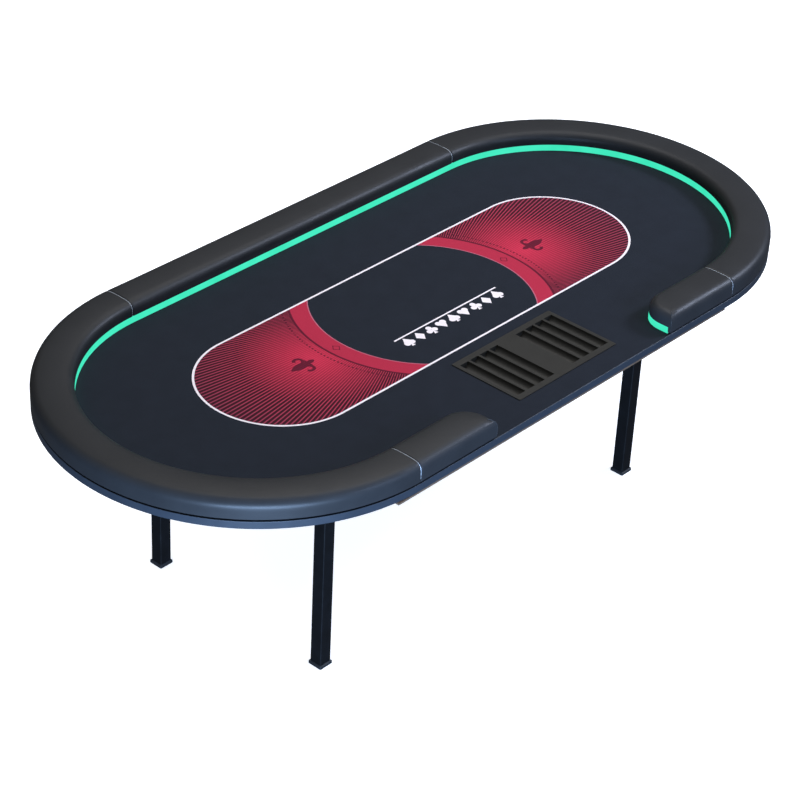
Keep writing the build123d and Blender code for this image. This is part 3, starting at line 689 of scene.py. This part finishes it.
# ---- the playing cloth, stretched over its foam and turned down into the tray's cut-out ----
HOLE_MARGIN = 6 * MM  # the cloth runs this far in under the tray's flange
TURN_DOWN = 5 * MM
CLOTH_THICK = 0.9 * MM


def stretched_cloth():
    """The printed sheet over the whole top, with its edge turned down round the tray's cut-out."""
    bm = bmesh.new()
    start, moves = oval(CLOTH_RADIUS)
    walk(bm, (*start, CLOTH_TOP), moves)
    x0, y0 = tray_low[0] + HOLE_MARGIN, tray_low[1] + HOLE_MARGIN
    x1, y1 = tray_high[0] - HOLE_MARGIN, tray_high[1] - HOLE_MARGIN
    walk(bm, (x0, y0, CLOTH_TOP), (("line", x0, y1, 12), ("line", x1, y1, 20), ("line", x1, y0, 12),
                                   ("line", x0, y0, 20)))
    bmesh.ops.triangle_fill(bm, use_beauty=True, use_dissolve=False, edges=bm.edges[:])
    bmesh.ops.recalc_face_normals(bm, faces=bm.faces[:])
    if sum(face.normal.z for face in bm.faces) < 0:
        bmesh.ops.reverse_faces(bm, faces=bm.faces[:])
    rim = [edge for edge in bm.edges if edge.is_boundary
           and all(edge_distance(vert.co) > RADIUS - CLOTH_RADIUS + MM for vert in edge.verts)]
    made = bmesh.ops.extrude_edge_only(bm, edges=rim)["geom"]
    bmesh.ops.translate(bm, verts=[p for p in made if isinstance(p, bmesh.types.BMVert)], vec=(0, 0, -TURN_DOWN))
    area = sum(face.calc_area() for face in bm.faces)
    piece = new_piece("stretched_cloth", bm, "cloth", smooth=False)
    wall = piece.modifiers.new("thickness", "SOLIDIFY")
    wall.thickness = CLOTH_THICK
    wall.offset = -1
    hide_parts("playing_cloth")


stretched_cloth()


# ---- the edge vinyl, folded under the ends of the top and stapled ----
HEM_WIDTH = 30 * MM
HEM_THICK = 1.0 * MM
HEM_INSET = 1.5 * MM  # from the table's outer edge
HEM_GAP = 0.1 * MM  # between the hem and the wood
HEM_SLACK = 0.5 * MM
HEM_CUTS = 5
HEM_ENDS = (board_low[0] - 2 * MM, board_high[0] + 2 * MM)  # the hem stops at the mounting board
STAPLE_PITCH = 62 * MM
STAPLE = (12 * MM, 1.3 * MM, 0.7 * MM)
STAPLE_EDGE = 0.3 * MM
STAPLE_DROP = 1.5 * MM
STAPLE_ROW = 0.62  # how far across the hem the staples stand
STAPLE_TILT = 0.12
STAPLE_END = 10 * MM  # from the hem's end to where staples may start


def folded_hem():
    """The strip of edge vinyl under each end of the top, standing off the wood between its staples."""
    bm = bmesh.new()
    start, moves = oval(RADIUS - HEM_INSET)
    walk(bm, (*start, CORE_BOTTOM - HEM_GAP), moves)
    whole = bmesh.ops.contextual_create(bm, geom=bm.edges[:])["faces"]
    bmesh.ops.inset_region(bm, faces=whole, thickness=HEM_WIDTH, use_boundary=True, use_even_offset=True)
    bmesh.ops.delete(bm, geom=whole, context="FACES")
    for x in HEM_ENDS:
        cut_at(bm, x)
    under_board = [face for face in bm.faces if HEM_ENDS[0] < face.calc_center_median().x < HEM_ENDS[1]]
    bmesh.ops.delete(bm, geom=under_board, context="FACES")
    across = [edge for edge in bm.edges if edge.calc_length() > HEM_WIDTH * 0.9]
    bmesh.ops.subdivide_edges(bm, edges=across, cuts=HEM_CUTS)
    pull = 2 * math.pi / STAPLE_PITCH
    for vert in bm.verts:
        inward = edge_distance(vert.co) / HEM_WIDTH
        along = math.atan2(vert.co.y, abs(vert.co.x) - STRAIGHT_HALF) * RADIUS
        vert.co.z -= HEM_SLACK * inward * (1 + math.cos(along * pull))
    bmesh.ops.recalc_face_normals(bm, faces=bm.faces[:])
    piece = new_piece("folded_edge_hem", bm, "skirt_vinyl")
    wall = piece.modifiers.new("thickness", "SOLIDIFY")
    wall.thickness = HEM_THICK
    wall.offset = -1


def hem_staples():
    """The staples through the hem, spaced round each end of the top."""
    bm = bmesh.new()
    radius = RADIUS - HEM_WIDTH * STAPLE_ROW
    for side, edge_x in ((-1, -HEM_ENDS[0]), (1, HEM_ENDS[1])):
        limit = math.acos((edge_x + STAPLE_END - STRAIGHT_HALF) / radius)
        count = int(limit * radius / STAPLE_PITCH)
        for k in range(-count, count + 1):
            turn = (k + 0.5) * STAPLE_PITCH / RADIUS
            if abs(turn) > limit:
                continue
            made = bmesh.ops.create_cube(bm, size=1)["verts"]
            bmesh.ops.scale(bm, verts=made, vec=STAPLE)
            corners = list(dict.fromkeys(edge for vert in made for edge in vert.link_edges))
            made = bmesh.ops.bevel(bm, geom=corners, offset=STAPLE_EDGE, segments=1, affect="EDGES",
                                   profile=0.5, material=-1)["verts"]
            spot = Vector((STRAIGHT_HALF + radius * math.cos(turn), radius * math.sin(turn),
                           CORE_BOTTOM - STAPLE_DROP))
            swing = Matrix.Rotation(turn + math.pi / 2 + STAPLE_TILT, 3, "Z")
            bmesh.ops.rotate(bm, verts=made, cent=(0, 0, 0), matrix=swing)
            bmesh.ops.translate(bm, verts=made, vec=spot)
            bmesh.ops.scale(bm, verts=made, vec=(side, 1, 1))
    bmesh.ops.recalc_face_normals(bm, faces=bm.faces[:])
    new_piece("hem_staples", bm, "screw_steel", smooth=False)


folded_hem()
hem_staples()


# ---- the floor with its curved backdrop, the lights and the camera ----
STUDIO_RADIUS = 11.0
BACKDROP = ((0.15, 0.5), (0.8, 0.9), (2.0, 0.5), (6.0, 0.0))  # each row's rise and its spread outwards
CAMERA_PLACE = (-4.569, -3.899, 4.298)
CAMERA_ANGLES = (40.957, -33.112, 2.909)  # yaw, pitch and roll in degrees
CAMERA_LENS = 110.34  # mm, on a 36 mm sensor


def studio():
    """A pale round floor that curves up into a backdrop, the sky over it and four softboxes."""
    bm = bmesh.new()
    bmesh.ops.create_circle(bm, cap_ends=True, segments=96, radius=STUDIO_RADIUS)
    for height, out in BACKDROP:
        rim = [edge for edge in bm.edges if edge.is_boundary]
        made = bmesh.ops.extrude_edge_only(bm, edges=rim)["geom"]
        verts = [part for part in made if isinstance(part, bmesh.types.BMVert)]
        size = 1 + out / STUDIO_RADIUS
        bmesh.ops.scale(bm, verts=verts, vec=(size, size, 1))
        bmesh.ops.translate(bm, verts=verts, vec=(0, 0, height))
    mesh = bpy.data.meshes.new("studio_floor")
    bm.to_mesh(mesh)
    bm.free()
    mesh.polygons.foreach_set("use_smooth", [True] * len(mesh.polygons))
    floor = bpy.data.objects.new("studio_floor", mesh)
    bpy.context.collection.objects.link(floor)
    material, tree = new_material("pale_studio_floor")
    place = add(tree, "ShaderNodeTexCoord", out="Object")
    drift = add(tree, "ShaderNodeTexNoise", {"Vector": place, "Scale": 0.8})
    tone = add(tree, "ShaderNodeMix", {0: drift, 6: linear("f0f1f3"), 7: linear("f4f4f5")}, out=2,
               data_type="RGBA")
    close_material(tree, {"Base Color": tone, "Roughness": 0.8, "Emission Color": linear("ffffff"),
                          "Emission Strength": 0.75})
    mesh.materials.append(material)
    floor.visible_diffuse = False
    floor.visible_glossy = False
    floor.visible_shadow = False
    world = bpy.data.worlds.new("studio")
    bpy.context.scene.world = world
    world.use_nodes = True
    # dim towards the horizon, brighter overhead
    tree = world.node_tree
    split = tree.nodes.new("ShaderNodeSeparateXYZ")
    tree.links.new(add(tree, "ShaderNodeTexCoord", out="Generated"), split.inputs[0])
    sky = add(tree, "ShaderNodeMapRange", {0: split.outputs[2], 1: 0.2, 2: 0.9, 3: 0.1, 4: 0.7})
    background = tree.nodes["Background"]
    background.inputs[0].default_value = linear("f4f6fa")
    tree.links.new(sky, background.inputs[1])
    for name, place, aim, size, watts, tint in (
            ("low_front_left_softbox", (-3.3, -3.0, 0.35), (-0.6, -0.3, 0.74), (2.4, 0.9), 640, "a6c8f4"),
            ("high_front_softbox", (0.6, -4.6, 2.6), (0, 0, 0.7), (1.6, 1.2), 75, "b4d0ff"),
            ("high_right_softbox", (3.9, -2.2, 3.4), (0.6, 0.5, 0.75), (1.2, 0.9), 190, "d8e4ff"),
            ("overhead_softbox", (1.0, 0.4, 4.4), (0, 0, 0.7), (3.5, 3.5), 92, "fffcf8")):
        light = bpy.data.lights.new(name, "AREA")
        light.shape = "RECTANGLE"
        light.size, light.size_y = size
        light.energy = watts
        light.color = linear(tint)[:3]
        lamp = bpy.data.objects.new(name, light)
        lamp.location = place
        lamp.rotation_euler = (Vector(aim) - Vector(place)).to_track_quat("-Z", "Y").to_euler()
        bpy.context.collection.objects.link(lamp)


def aim_camera():
    """A long lens from the front left, above the table."""
    yaw, pitch, roll = (math.radians(angle) for angle in CAMERA_ANGLES)
    forward = Vector((math.cos(pitch) * math.cos(yaw), math.cos(pitch) * math.sin(yaw), math.sin(pitch)))
    level = forward.cross(Vector((0, 0, 1))).normalized()
    upright = level.cross(forward)
    right = level * math.cos(roll) + upright * math.sin(roll)
    up = upright * math.cos(roll) - level * math.sin(roll)
    lens = bpy.data.cameras.new("camera")
    lens.lens = CAMERA_LENS
    lens.sensor_width = 36
    lens.clip_end = 100
    camera = bpy.data.objects.new("camera", lens)
    facing = Matrix((right, up, -forward)).transposed().to_4x4()
    camera.matrix_world = Matrix.Translation(CAMERA_PLACE) @ facing
    bpy.context.collection.objects.link(camera)
    bpy.context.scene.camera = camera


studio()
aim_camera()
bpy.context.scene.view_settings.view_transform = "Standard"
